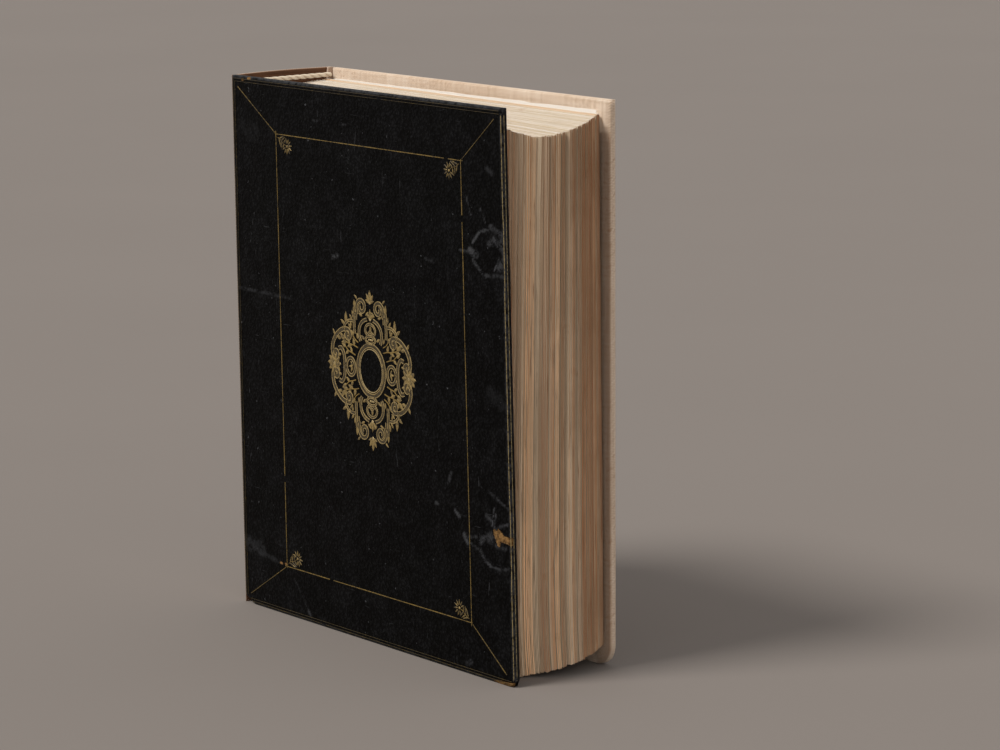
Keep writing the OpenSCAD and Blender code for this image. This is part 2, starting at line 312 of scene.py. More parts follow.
def pulp_board():
    m = Nodes("pulp_board")
    co = m.coords()
    layers = m.noise(m.stretch(co, (1, 9, 1)), 420, 4, 0.7)
    chips = m.noise(co, 900, 5, 0.7)
    base = m.mix(layers, (0.16, 0.085, 0.04), (0.40, 0.24, 0.12))
    base = m.mix(m.ramp(chips, 0.5, 0.75), base, (0.11, 0.06, 0.03))
    return m.finish(base_color=base, roughness=0.93, normal=m.bump(chips, 0.3 * MM, 0.8))


def spun_thread():
    m = Nodes("headband_thread")
    co = m.coords()
    painted_groove_shade = m.attribute("painted_groove_shade")
    fibre = m.noise(co, 3000, 4, 0.7)
    base = m.mix(fibre, (0.60, 0.50, 0.36), (0.80, 0.71, 0.56))
    # Painted shade: the thread is dark brown in the grooves between the strands.
    base = m.mix(painted_groove_shade * 0.75, base, (0.27, 0.16, 0.085))
    return m.finish(base_color=base, roughness=0.85, normal=m.bump(fibre, 0.1 * MM, 0.6),
                    sheen_weight=0.2)


def lining_paper():
    m = Nodes("lining_paper")
    co = m.coords()
    glue = m.noise(co, 60, 5, 0.7)
    mesh = m.cells(co, 900)
    base = m.mix(glue, (0.16, 0.085, 0.042), (0.36, 0.235, 0.13))
    base = m.mix(m.ramp(mesh, 0.5, 0.2) * 0.3, base, (0.50, 0.38, 0.25))
    return m.finish(base_color=base, roughness=0.85, normal=m.bump(glue + mesh, 0.2 * MM, 0.7))


def studio_floor():
    m = Nodes("studio_floor")
    co = m.coords()
    base = m.mix(m.noise(co, 3, 3), (0.192, 0.172, 0.158), (0.204, 0.183, 0.168))
    return m.finish(base_color=base, roughness=0.9, specular_ior_level=0.1)


MATERIALS = {"leather": black_leather(), "gilt": gold(), "linen": linen(), "paper": leaf_edges(),
             "endpaper": endpaper(), "board": pulp_board(), "headband": spun_thread(),
             "lining": lining_paper()}


# ---- mesh building ---------------------------------------------------------

class Shape:
    """Points, faces and face or point values, gathered before one mesh is made from them."""

    def __init__(self):
        self.points = []
        self.faces = []
        self.point_values = {}
        self.face_values = {}

    def add(self, points, faces, on_points=None, on_faces=None):
        start = len(self.points)
        self.points.extend(tuple(p) for p in points)
        self.faces.extend(tuple(start + i for i in f) for f in faces)
        for name, values in (on_points or {}).items():
            self.point_values.setdefault(name, []).extend(values)
        for name, values in (on_faces or {}).items():
            self.face_values.setdefault(name, []).extend(values)

    def make(self, name, slot, smooth=True):
        mesh = bpy.data.meshes.new(name)
        mesh.from_pydata(self.points, [], self.faces)
        mesh.update()
        for domain, table in (("POINT", self.point_values), ("FACE", self.face_values)):
            for key, values in table.items():
                kind = "FLOAT_VECTOR" if isinstance(values[0], tuple) else "FLOAT"
                attribute = mesh.attributes.new(key, kind, domain)
                flat = np.array(values, np.float32).ravel()
                attribute.data.foreach_set("vector" if kind == "FLOAT_VECTOR" else "value", flat)
        mesh.polygons.foreach_set("use_smooth", [smooth] * len(mesh.polygons))
        mesh.materials.append(MATERIALS[slot])
        piece = bpy.data.objects.new(name, mesh)
        bpy.context.scene.collection.objects.link(piece)
        return piece

    def stand_in(self, name, slot, body, node, smooth=True):
        """Makes a piece that moves with a body and takes the place of one of the frame's nodes."""
        piece = self.make(name, slot, smooth)
        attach(piece, body)
        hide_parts(node)


def tube_faces(rings, around, closed_ends=True):
    """Quads between rings of points, each ring a closed loop, with end caps."""
    faces = []
    for low in range(0, (rings - 1) * around, around):
        for k in range(around):
            a, b = low + k, low + (k + 1) % around
            faces.append((a, b, b + around, a + around))
    if closed_ends:
        faces.append(tuple(reversed(range(around))))
        faces.append(tuple(range((rings - 1) * around, rings * around)))
    return faces


def border(nx, nz):
    """The cells round the rim of a grid, in order, and the way outwards at each."""
    steps = [(i, 0) for i in range(nx)] + [(nx, j) for j in range(nz)]
    steps += [(i, nz) for i in range(nx, 0, -1)] + [(0, j) for j in range(nz, 0, -1)]
    ways = []
    for i, j in steps:
        ways.append(((i == nx) - (i == 0), (j == nz) - (j == 0)))
    return steps, ways


def sheet_faces(nx, nz):
    """The faces of a closed sheet of two equal grids of points: its two sides, then its rim."""
    half = (nx + 1) * (nz + 1)
    faces = []
    for j in range(nz):
        for i in range(nx):
            a = j * (nx + 1) + i
            faces.append((a, a + 1, a + nx + 2, a + nx + 1))
            faces.append((half + a, half + a + nx + 1, half + a + nx + 2, half + a + 1))
    rim = [j * (nx + 1) + i for i, j in border(nx, nz)[0]]
    faces += [(b, a, a + half, b + half) for a, b in zip(rim, rim[1:] + rim[:1])]
    return faces


def left_of(path, closed=False):
    """The unit way to the left of a path at each of its points."""
    count = len(path)
    ways = []
    for k in range(count):
        a = path[k - 1 if closed else max(k - 1, 0)]
        b = path[(k + 1) % count if closed else min(k + 1, count - 1)]
        run = math.hypot(b[0] - a[0], b[1] - a[1]) or 1
        ways.append(((a[1] - b[1]) / run, (b[0] - a[0]) / run))
    return ways


def wrapped_slab(width, height, profile, nx, nz, place, values):
    """A skin round a board: a face grid, then rings that turn over its edges and run inside.

    profile lists (inset from the edge, depth) from the face's rim inwards; the last ring is closed.
    place(s, t, depth) gives the point; values(s, t, depth) gives what is stored on each point."""
    rim = profile[0][0]
    points, stored = [], []

    def put(s, t, depth):
        points.append(place(s, t, depth))
        stored.append(values(s, t, depth))

    for j in range(nz + 1):
        for i in range(nx + 1):
            put(rim + (width - 2 * rim) * i / nx, rim + (height - 2 * rim) * j / nz, profile[0][1])
    faces = [(j * (nx + 1) + i, j * (nx + 1) + i + 1, (j + 1) * (nx + 1) + i + 1, (j + 1) * (nx + 1) + i)
             for j in range(nz) for i in range(nx)]
    steps, ways = border(nx, nz)
    before = [j * (nx + 1) + i for i, j in steps]
    count = len(steps)
    for inset, depth in profile[1:]:
        start = len(points)
        for (i, j), (wx, wz) in zip(steps, ways):
            s = rim + (width - 2 * rim) * i / nx
            t = rim + (height - 2 * rim) * j / nz
            s = min(max(s, inset), width - inset) if wx == 0 else (inset if wx < 0 else width - inset)
            t = min(max(t, inset), height - inset) if wz == 0 else (inset if wz < 0 else height - inset)
            put(s, t, depth)
        for k in range(count):
            a, b = before[k], before[(k + 1) % count]
            faces.append((b, a, start + k, start + (k + 1) % count))
        before = [start + k for k in range(count)]
    faces.append(tuple(before))
    return points, faces, {name: [v[name] for v in stored] for name in stored[0]}


def quarter_round(radius, steps):
    """A rounded arris from a face to its edge: (inset, depth) of each place."""
    turns = [math.pi / 2 * k / steps for k in range(steps + 1)]
    return [(radius * (1 - math.sin(a)), radius * (1 - math.cos(a))) for a in turns]


def board_skin(width, step, place, values):
    """A board's skin: face, rounded edge, turn-in, its cut edge, and back round the board."""
    inner = [(inset, COVER_T - depth) for depth, inset in quarter_round(EDGE_ROUND, 3)]
    tail = [(TURN_IN, COVER_T), (TURN_IN, COVER_T - SKIN), (SKIN, COVER_T - SKIN), (SKIN, SKIN)]
    return wrapped_slab(width, HEAD_Z, quarter_round(EDGE_ROUND, 4) + inner + tail,
                        round(width / step), round(HEAD_Z / step), place, values)


def smooth(x, low, high):
    t = min(max((x - low) / (high - low), 0), 1)
    return t * t * (3 - 2 * t)


def wave(*terms):
    """A sum of sines: (place, pitch, phase, size)."""
    return sum(size * math.sin(2 * math.pi * p / pitch + phase) for p, pitch, phase, size in terms)


# ---- front cover -----------------------------------------------------------

# Rubbed streaks and patches of the front cover, most of them from two lost clasps. Each runs from one
# place to another, in millimetres from the spine edge and from the foot, with a half width and a strength.
SCUFFS = [
    (185.0, 191.0, 190.5, 196.5, 0.8, 0.9), (190.5, 196.5, 196.0, 197.5, 0.7, 0.7),
    (176.0, 187.0, 187.0, 186.5, 0.9, 0.5), (183.0, 187.5, 187.5, 186.0, 2.2, 0.75),
    (196.5, 191.5, 200.5, 194.0, 1.6, 0.6), (200.5, 194.0, 206.0, 190.0, 2.0, 0.6),
    (198.0, 199.0, 206.0, 196.0, 1.7, 0.5), (185.0, 183.5, 193.5, 177.0, 0.9, 0.6),
    (194.0, 178.0, 207.0, 178.5, 1.1, 0.4), (200.0, 180.5, 203.5, 186.5, 0.6, 0.9),
    (203.5, 182.0, 206.0, 184.5, 2.6, 0.55), (181.5, 210.0, 184.0, 203.0, 0.5, 0.6),
    (191.0, 206.5, 194.5, 200.5, 0.5, 0.6), (204.0, 197.0, 207.0, 188.0, 1.0, 0.6),
    (185.5, 57.0, 188.5, 53.3, 0.8, 0.7), (188.5, 53.3, 193.0, 51.0, 0.8, 0.7),
    (193.0, 51.0, 200.5, 50.8, 0.8, 0.5), (200.5, 50.8, 206.5, 52.5, 0.8, 0.45),
    (174.0, 62.0, 176.5, 59.0, 1.4, 0.75), (177.0, 59.5, 186.0, 56.5, 0.6, 0.5),
    (177.0, 61.5, 191.0, 64.0, 0.8, 0.45), (186.0, 61.0, 187.5, 62.5, 1.9, 0.6),
    (192.0, 63.5, 197.0, 66.0, 3.2, 0.5), (190.5, 73.0, 193.0, 72.0, 1.6, 0.5),
    (194.0, 69.0, 195.8, 77.0, 0.6, 0.9), (195.5, 68.0, 197.0, 75.0, 0.5, 0.9),
    (192.5, 84.0, 205.5, 78.5, 0.7, 0.5), (199.0, 69.5, 207.0, 72.0, 0.8, 0.6),
    (197.0, 61.0, 203.0, 61.0, 1.6, 0.45), (163.5, 83.5, 165.5, 88.0, 1.3, 0.4),
    (168.0, 71.8, 171.0, 69.5, 1.2, 0.7), (153.5, 73.0, 155.5, 72.6, 0.9, 0.5),
    (79.0, 173.5, 83.0, 174.2, 1.4, 0.75), (41.5, 18.5, 53.0, 5.0, 0.5, 0.3),
    (52.5, 5.0, 54.5, 3.2, 1.0, 0.6), (174.0, 4.5, 177.0, 6.0, 1.5, 0.4),
    (66.0, 234.0, 70.0, 234.2, 0.7, 0.4), (88.0, 234.0, 92.0, 234.0, 0.8, 0.4),
    (0.0, 151.0, 46.0, 150.5, 0.9, 0.28), (6.0, 226.0, 17.0, 225.0, 6.0, 0.09),
    (5.0, 29.0, 15.0, 28.0, 4.8, 0.22), (12.0, 25.8, 30.0, 24.8, 1.6, 0.26),
    (150.0, 180.5, 156.0, 179.3, 0.7, 0.35), (196.0, 224.0, 200.0, 222.0, 1.5, 0.3),
    (195.0, 127.0, 203.0, 124.0, 4.5, 0.10),
]
# Where the leather is torn away to the board beside the lower clasp's place, written in the same way.
TEARS = [(195.8, 67.0, 198.5, 61.8, 1.7, 1.0), (198.5, 67.5, 202.0, 65.0, 1.6, 1.0),
         (200.0, 64.6, 208.0, 64.6, 2.2, 1.0), (206.0, 64.4, 210.0, 64.4, 2.4, 1.0)]


def stroke_share(s, t, strokes):
    """How strongly a place of the front cover is marked by the strokes that pass it."""
    most = 0.0
    for s0, t0, s1, t1, half, strength in strokes:
        ds, dt = (s1 - s0) * MM, (t1 - t0) * MM
        from_s, from_t = s - s0 * MM, t - t0 * MM
        along = min(max((from_s * ds + from_t * dt) / (ds * ds + dt * dt), 0), 1)
        away = math.hypot(from_s - along * ds, from_t - along * dt)
        if away < half * MM:
            most = max(most, strength * (1 - smooth(away, 0.45 * half * MM, half * MM)))
    return most


# Small bare spots, as shares of the cover's width and height.
BARE_SPOTS = [(0.15, 0.097), (0.17, 0.098), (0.045, 0.994), (0.07, 0.997)]
UPPER_CLASP = (0.985 * COVER_W, 0.75 * HEAD_Z)
LOWER_CLASP = (0.985 * COVER_W, 0.255 * HEAD_Z)


def spot(s, t):
    """A place on the front cover, drawn in with the board's narrower head."""
    return SPINE_X + s * (1 - HEAD_SHORT / COVER_W * t / HEAD_Z), t


def front_marks(s, t, depth):
    """Where the leather is rubbed, and where it is torn to the board."""
    if depth > COVER_T / 2:
        return {"wear": 0.15, "torn": 0.0}
    edge = min(s, COVER_W - s, t, HEAD_Z - t)
    wear = 0.55 * (1 - smooth(edge, 0.3 * MM, 1.8 * MM))
    wear = max(wear, 0.6 * smooth(s, COVER_W - 0.9 * MM, COVER_W), stroke_share(s, t, SCUFFS))
    torn = 0.95 * stroke_share(s, t, TEARS)
    corner = smooth(s, 0.86 * COVER_W, COVER_W) * (1 - smooth(t, 0.6 * MM, 3.4 * MM))
    torn = max(torn, corner)
    for across, up in BARE_SPOTS:
        d = math.hypot((s - across * COVER_W) / 2.2, t - up * HEAD_Z)
        torn = max(torn, 0.75 * (1 - smooth(d, 0.3 * MM, 1.4 * MM)))
    return {"wear": wear, "torn": torn}


WORN_W = 7.5 * MM                             # the corner that is worn off the foot, at the spine
WORN_H = 4.0 * MM
FOOT_CREASE = 23.5 * MM                       # height of a fold across the cover's foot, by the spine


def front_point(s, t, depth):
    """A point of the leather, with the dents of long use in its face."""
    corner_x = smooth(s, COVER_W - 4 * MM, COVER_W)
    corner_z = 1 - smooth(t, 0, 4 * MM)
    x, z = spot(s, t)
    x -= 1.3 * corner_x * corner_z * MM
    z += 0.5 * corner_x * corner_z * MM
    if s < WORN_W and t < WORN_H:
        z = max(z, t + (1 - s / WORN_W) * (WORN_H - t))
    y = FRONT_Y + depth
    if depth < SKIN:
        dent = 0.05 * MM * (1 + wave((s, 47 * MM, 0.3, 0.5), (t, 61 * MM, 1.2, 0.5)))
        for centre, reach in ((UPPER_CLASP, 25 * MM), (LOWER_CLASP, 27 * MM)):
            d = math.hypot(s - centre[0], t - centre[1])
            dent += 0.16 * MM * (1 - smooth(d, 0.55 * reach, 0.68 * reach))
        crease = 1 - smooth(abs(t - FOOT_CREASE), 0, 0.9 * MM)
        y += dent + 0.22 * MM * crease * (1 - smooth(s, 24 * MM, 33 * MM))
    return (x, y, z)


def front_leather():
    shape = Shape()
    step = 0.8 * MM
    shape.add(*board_skin(COVER_W, step, front_point, front_marks))
    shape.stand_in("leather_skin", "leather", "front_cover", "front_leather")


# ---- gold tooling ----------------------------------------------------------

GOLD_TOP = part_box("gilt_inner_frame")[0].y
GOLD_BASE = FRONT_Y + 0.10 * MM
STRIP_FLAT = 0.72                            # the flat top of a strip of gold, as a share of its width


def add_gold(shape, points, faces, dull, lit):
    """Adds faces of gold: dull says how rubbed they are, and lit how bright."""
    shape.add(points, faces, on_faces={"dull": [dull] * len(faces), "lit": [lit] * len(faces)})


def gold_strip(shape, path, width, top=GOLD_TOP, closed=False, worn=None, dull=0.0, lit=0.0):
    """A flat raised strip of gold along a path of (s, t) places on the front cover."""
    count = len(path)
    if count < 2:
        return
    rings = []
    for k, ((s, t), (ws, wt)) in enumerate(zip(path, left_of(path, closed))):
        half = width / 2 * (worn(k) if worn else 1)
        for side, y in ((-1, GOLD_BASE), (-STRIP_FLAT, top), (STRIP_FLAT, top), (1, GOLD_BASE)):
            x, z = spot(s + ws * half * side, t + wt * half * side)
            rings.append((x, y, z))
    faces = tube_faces(count, 4, closed_ends=not closed)
    if closed:
        last = 4 * (count - 1)
        faces += [(last + k, last + (k + 1) % 4, (k + 1) % 4, k) for k in range(4)]
    add_gold(shape, rings, faces, dull, lit)


def gold_leaf_form(shape, base, angle, length, width, lit, dull):
    """A pointed leaf with a raised rib down its middle."""
    steps = 8
    ca, sa = math.cos(angle), math.sin(angle)
    rings = []
    for k in range(steps + 1):
        u = k / steps
        half = max(width / 2 * math.sin(math.pi * u ** 0.8) ** 0.85, 0.03 * MM)
        cx, cz = base[0] + ca * length * u, base[1] + sa * length * u
        for side, y in ((-1, GOLD_BASE), (-0.75, FRONT_Y), (0, GOLD_TOP), (0.75, FRONT_Y), (1, GOLD_BASE)):
            px, pz = spot(cx - sa * half * side, cz + ca * half * side)
            rings.append((px, y, pz))
    faces = tube_faces(steps + 1, 5)
    add_gold(shape, rings, faces, dull, lit)


def gold_bead(shape, centre, radius, lit=0.5):
    around = 12
    points = []
    for share, y in ((1, GOLD_BASE), (0.8, (FRONT_Y + GOLD_TOP) / 2), (0.35, GOLD_TOP)):
        for k in range(around):
            a = 2 * math.pi * k / around
            px, pz = spot(centre[0] + radius * share * math.cos(a), centre[1] + radius * share * math.sin(a))
            points.append((px, y, pz))
    add_gold(shape, points, tube_faces(3, around), 0.0, lit)


LINE_STEP = 1.5 * MM


def line_points(a, b):
    count = max(2, round(math.hypot(b[0] - a[0], b[1] - a[1]) / LINE_STEP))
    return [(a[0] + (b[0] - a[0]) * k / count, a[1] + (b[1] - a[1]) * k / count) for k in range(count + 1)]


def worn_line(shape, a, b, width, chance, rng, dull):
    """A tooled line whose gold thins, and has come away in a few places."""
    run = []
    phase = rng.random() * 6

    def thin(k):
        return 0.82 + 0.18 * math.sin(k * 0.31 + phase) * math.sin(k * 0.113 + 2 * phase)

    for k, place in enumerate(line_points(a, b)):
        lost = 0.5 + 0.5 * math.sin(k * 0.11 + phase) * math.sin(k * 0.037 + 2 * phase)
        if rng.random() < chance * lost:
            gold_strip(shape, run, width, worn=thin, dull=dull)
            run = []
        else:
            run.append(place)
    gold_strip(shape, run, width, worn=thin, dull=dull)


def gold_piece(shape, name, node):
    shape.stand_in(name, "gilt", "front_cover", node, smooth=False)


# The two lines round the cover: how far in each one runs, and its width.
FILLETS = ((1.3 * MM, 0.26 * MM), (2.6 * MM, 0.22 * MM))
# The two lines of the fore edge: each between two places, given as (inset, depth), then dull and lit.
ARRIS_LINE = ((0.50 * MM, 0.09 * MM), (0.28 * MM, 0.25 * MM), 0.3, 0.45)
SIDE_LINE = ((0.0, 1.5 * MM), (0.0, 1.8 * MM), 0.4, 0.55)
EDGE_RISE = 0.07 * MM


def edge_line(shape, inner, outer, dull, lit):
    """A gold line down the cover's fore edge, between two places of its rounded arris: (inset, depth)."""
    rings = []
    rows = round(HEAD_Z / (2 * MM))
    low = 3 * MM
    for k in range(rows + 1):
        t = low + (HEAD_Z - 2 * low) * k / rows
        a = Vector(front_point(COVER_W - inner[0], t, inner[1]))
        b = Vector(front_point(COVER_W - outer[0], t, outer[1]))
        out = Vector((b.y - a.y, a.x - b.x, 0)).normalized() * EDGE_RISE
        for place, lift in ((a, -1), (a, 1), (b, 1), (b, -1)):
            rings.append(tuple(place + out * lift))
    faces = tube_faces(rows + 1, 4)
    add_gold(shape, rings, faces, dull, lit)


def outer_fillets():
    rng = random.Random(11)
    shape = Shape()
    far = 1.5 * MM
    for inset, width in FILLETS:
        top = HEAD_Z - inset
        foot_start = (max(inset, WORN_W - inset), inset)
        for a, b in (((inset, WORN_H), (inset, top)), (foot_start, (COVER_W - far, inset)),
                     ((inset, top), (COVER_W - far, top))):
            worn_line(shape, a, b, width, 0.02, rng, 1.0)
    edge_line(shape, *ARRIS_LINE)
    edge_line(shape, *SIDE_LINE)
    gold_piece(shape, "gold_outer_fillets", "gilt_outer_fillets")


FRAME_S = (0.174 * COVER_W, 0.859 * COVER_W)
FRAME_T = (0.094 * HEAD_Z, 0.902 * HEAD_Z)
FRAME_CORNERS = [(FRAME_S[0], FRAME_T[0]), (FRAME_S[1], FRAME_T[0]),
                 (FRAME_S[1], FRAME_T[1]), (FRAME_S[0], FRAME_T[1])]
OVERRUN = 1.5 * MM
MITRE_START = 5 * MM


def inner_frame():
    rng = random.Random(5)
    shape = Shape()
    for k in range(4):
        a, b = FRAME_CORNERS[k], FRAME_CORNERS[(k + 1) % 4]
        run = math.hypot(b[0] - a[0], b[1] - a[1])
        dx, dz = (b[0] - a[0]) / run * OVERRUN, (b[1] - a[1]) / run * OVERRUN
        end = (b[0] + dx * 0.4, b[1] + dz * 0.4)
        worn_line(shape, (a[0] - dx, a[1] - dz), end, 0.50 * MM, 0.004, rng, 0.25)
    gold_piece(shape, "gold_inner_frame", "gilt_inner_frame")


def mitre_lines():
    rng = random.Random(9)
    shape = Shape()
    outer = [(MITRE_START, MITRE_START), (COVER_W - MITRE_START, MITRE_START),
             (COVER_W - MITRE_START, HEAD_Z - MITRE_START), (MITRE_START, HEAD_Z - MITRE_START)]
    for a, b in zip(outer, FRAME_CORNERS):
        end = (b[0] + (a[0] - b[0]) * 0.03, b[1] + (a[1] - b[1]) * 0.03)
        worn_line(shape, a, end, 0.44 * MM, 0.006, rng, 0.5)
    gold_piece(shape, "gold_mitre_lines", "gilt_mitre_lines")


def flower(shape, base, angle, size):
    """A small flower on a stalk with three pairs of leaves, growing from base along angle."""
    def at(along, across=0.0):
        return (base[0] + math.cos(angle) * along - math.sin(angle) * across,
                base[1] + math.sin(angle) * along + math.cos(angle) * across)

    stalk = [at(size * 0.62 * k / 6, size * 0.03 * math.sin(k)) for k in range(7)]
    gold_strip(shape, stalk, 0.4 * MM, dull=0.5)
    heart = at(size * 0.70)
    for k in range(9):
        turn = angle + math.radians(-128 + 32 * k)
        petal = (heart[0] + math.cos(turn) * size * 0.10, heart[1] + math.sin(turn) * size * 0.10)
        gold_leaf_form(shape, petal, turn, size * 0.24, size * 0.085, 0.1, 0.5)
    gold_bead(shape, heart, size * 0.06, 0.2)
    for side in (-1, 1):
        for along, spread, length in ((0.08, 0.75, 0.38), (0.26, 1.0, 0.34), (0.44, 1.25, 0.24)):
            turn = angle + side * spread
            gold_leaf_form(shape, at(size * along), turn, size * length, size * 0.085, 0.1, 0.6)


def corner_fleurons():
    shape = Shape()
    start = 1.5 * MM
    rise = math.radians(26)
    for (s, t), sx, sz in zip(FRAME_CORNERS, (1, -1, -1, 1), (1, 1, -1, -1)):
        angle = math.atan2(sz * math.sin(rise), sx * math.cos(rise))
        flower(shape, (s + sx * start, t + sz * start), angle, 11.5 * MM)
    gold_piece(shape, "gold_corner_flowers", "gilt_corner_fleurons")


# The centre ornament is drawn in millimetres from its own centre, one quarter of it, and mirrored.

def spiral(cx, cz, r_start, r_end, a_start, turn):
    """Points of a volute, from its outer end inwards; angles in degrees."""
    steps = 30
    out = []
    for k in range(steps + 1):
        u = k / steps
        a = math.radians(a_start + turn * u)
        r = r_start + (r_end - r_start) * u ** 0.8
        out.append((cx + r * math.cos(a), cz + r * math.sin(a)))
    return out


def ring(cx, cz, rx, rz, steps=40):
    return [(cx + rx * math.cos(2 * math.pi * k / steps), cz + rz * math.sin(2 * math.pi * k / steps))
            for k in range(steps)]


def curve_through(points, steps=7):
    """A smooth curve through given points."""
    out = []
    last = len(points) - 1
    for k in range(last):
        p0, p1, p2, p3 = points[max(k - 1, 0)], points[k], points[k + 1], points[min(k + 2, last)]
        for n in range(steps):
            t = n / steps
            out.append(tuple(0.5 * (2 * p1[i] + (p2[i] - p0[i]) * t
                                    + (2 * p0[i] - 5 * p1[i] + 4 * p2[i] - p3[i]) * t * t
                                    + (3 * p1[i] - p0[i] - 3 * p2[i] + p3[i]) * t ** 3) for i in (0, 1)))
    out.append(points[-1])
    return out


# (width, points) of each strap of the upper right quarter
STRAPS = [
    (2.0, curve_through([(11.0, 22.0), (10.8, 24.6)]) + spiral(6.5, 28.0, 4.3, 1.0, -38, 470)),
    (1.8, [(12.2, 15.4), (12.3, 19.0), (12.2, 23.0), (11.9, 27.4)]),
    (1.8, curve_through([(2.4, 23.0), (5.8, 21.6), (8.2, 18.8), (8.6, 15.4), (7.6, 12.6)])),
    (1.3, curve_through([(0.0, 21.2), (2.6, 20.2), (3.8, 18.0), (2.4, 16.2), (0.0, 17.8)])),
    (1.5, curve_through([(13.4, 21.0), (16.6, 20.8), (19.4, 19.0), (20.6, 16.4)])),
    (2.3, spiral(17.6, 14.2, 2.5, 0.7, 90, 400)[::-1]
     + curve_through([(17.8, 16.7), (21.8, 16.2), (26.0, 13.6), (29.0, 9.8), (30.0, 6.0)])[1:]
     + spiral(27.3, 4.7, 2.7, 0.8, 28, -400)),
    (2.0, curve_through([(25.0, 7.2), (22.8, 7.6), (21.0, 5.4), (20.4, 2.6), (20.3, 0.0)])),
]
STEMS = [
    curve_through([(9.8, 9.2), (13.0, 10.0), (16.4, 10.2), (20.6, 11.6)]),
    curve_through([(12.0, 5.6), (14.6, 6.4), (17.2, 7.0), (19.4, 8.6)]),
    curve_through([(9.6, 11.6), (12.0, 12.8), (13.8, 14.6)]),
]
# (x, z, angle, length, width) of each leaf
LEAVES = [
    (12.6, 9.9, 72, 3.4, 2.1), (14.6, 10.1, -22, 3.8, 2.1), (16.4, 10.2, 62, 3.2, 2.0),
    (18.6, 10.8, -8, 4.2, 2.2), (20.6, 11.6, 42, 4.6, 2.5), (20.4, 11.4, 92, 3.2, 1.9),
    (23.0, 11.8, 14, 3.6, 2.0), (14.6, 6.4, 66, 2.8, 1.7), (17.2, 7.0, -34, 3.0, 1.8),
    (19.4, 8.6, 20, 3.2, 1.9), (13.2, 14.0, 58, 3.2, 1.8), (14.8, 17.4, 40, 3.2, 1.8),
    (15.0, 18.2, 84, 2.4, 1.5), (18.9, 19.6, 92, 5.2, 2.6), (19.8, 18.8, 30, 3.6, 2.0),
    (18.2, 19.8, 142, 2.8, 1.6), (11.9, 26.8, 88, 4.2, 2.2), (13.2, 22.6, 78, 3.2, 1.7),
    (14.2, 21.6, 50, 2.8, 1.6), (9.8, 31.4, 38, 2.6, 1.4), (3.4, 24.4, 140, 3.2, 1.6),
    (6.0, 24.0, 20, 3.0, 1.5), (9.8, 13.2, 74, 2.8, 1.6), (4.6, 13.6, 30, 3.0, 1.5),
    (27.6, 13.0, 58, 3.0, 1.7), (23.2, 4.6, -8, 2.6, 1.5),
]
ORNAMENT_CENTRE = (0.518 * COVER_W, 0.501 * HEAD_Z)
OVAL = (9.2, 10.4)
STRAP_RIM = 0.42                             # width of a strap's bright edges
ROSETTE_X = 28.6                             # the rosette at either side
CARTOUCHE_Z = 13.9                           # the small ring above and below the oval, with its three beads
FAN_Z = 30.8                                 # where the top fan of leaves springs
# (angle from upright, length, width) of each leaf of the top fan
FAN = [(-1.3, 3.4, 1.8), (-0.62, 4.6, 2.1), (0.0, 5.6, 2.6), (0.62, 4.6, 2.1), (1.3, 3.4, 1.8)]


def centre_ornament():
    cx, cz = ORNAMENT_CENTRE
    shape = Shape()

    def placed(path, sx=1, sz=1):
        return [(cx + sx * x * MM, cz + sz * z * MM) for x, z in path]

    def strap(path, sx, sz, width, closed=False):
        """A strap: a low dull band between two raised bright edges."""
        low = (2 * FRONT_Y + GOLD_TOP) / 3
        gold_strip(shape, placed(path, sx, sz), (width - STRAP_RIM) * MM, low, closed, dull=1.0)
        ways = left_of(path, closed)
        for side in (-1, 1):
            off = side * (width - STRAP_RIM) / 2
            beside = [(x + wx * off, z + wz * off) for (x, z), (wx, wz) in zip(path, ways)]
            gold_strip(shape, placed(beside, sx, sz), STRAP_RIM * MM, closed=closed, lit=0.35)

    def leaf(x, z, angle, length, width):
        gold_leaf_form(shape, (cx + x * MM, cz + z * MM), angle, length * MM, width * MM, 0.15, 0.2)

    def bead(x, z, radius):
        gold_bead(shape, (cx + x * MM, cz + z * MM), radius * MM)

    for sx in (-1, 1):
        for sz in (-1, 1):
            for width, path in STRAPS:
                strap(path, sx, sz, width)
            for path in STEMS:
                gold_strip(shape, placed(path, sx, sz), 0.55 * MM)
            for x, z, angle, length, width in LEAVES:
                turn = math.radians(angle)
                leaf(sx * x, sz * z, math.atan2(sz * math.sin(turn), sx * math.cos(turn)), length, width)
    strap(ring(0, 0, OVAL[0] + 1.0, OVAL[1] + 1.0, 72), 1, 1, 2.2, closed=True)
    gold_strip(shape, placed(ring(0, 0, OVAL[0] - 0.7, OVAL[1] - 0.7, 72)), 0.4 * MM, closed=True, lit=0.6)
    for sz in (-1, 1):
        strap(ring(0, CARTOUCHE_Z, 3.6, 1.7), 1, sz, 1.2, closed=True)
        for x in (-1.2, 0.0, 1.2):
            bead(x, sz * CARTOUCHE_Z, 0.55)
        up = sz * math.pi / 2
        for off, length, width in FAN:
            leaf(0, sz * FAN_Z, up + off, length, width)
        for off, length in ((-0.9, 3.6), (0.0, 4.4), (0.9, 3.6)):
            leaf(0, sz * 23.4, up + off, length, 1.9)
        leaf(0, sz * 17.6, up, 2.8, 1.7)
        bead(0, sz * FAN_Z, 1.0)
        bead(0, sz * 23.2, 0.9)
    for sx in (-1, 1):
        strap(ring(15.7, 0, 3.3, 3.9), sx, 1, 1.7, closed=True)
        out = 0 if sx > 0 else math.pi
        for off in (-1.1, 0.0, 1.1):
            leaf(sx * 14.6, 0, out + off, 2.8, 1.3)
        for k in range(10):
            turn = out + math.pi * k / 5
            leaf(sx * (ROSETTE_X + math.cos(math.pi * k / 5)), math.sin(turn), turn, 4.2, 2.6)
            inner = turn + math.pi / 10
            leaf(sx * ROSETTE_X + 0.5 * math.cos(inner), 0.5 * math.sin(inner), inner, 2.2, 1.3)
        bead(sx * ROSETTE_X, 0, 1.0)
    gold_piece(shape, "gold_centre_ornament", "gilt_centre_ornament")


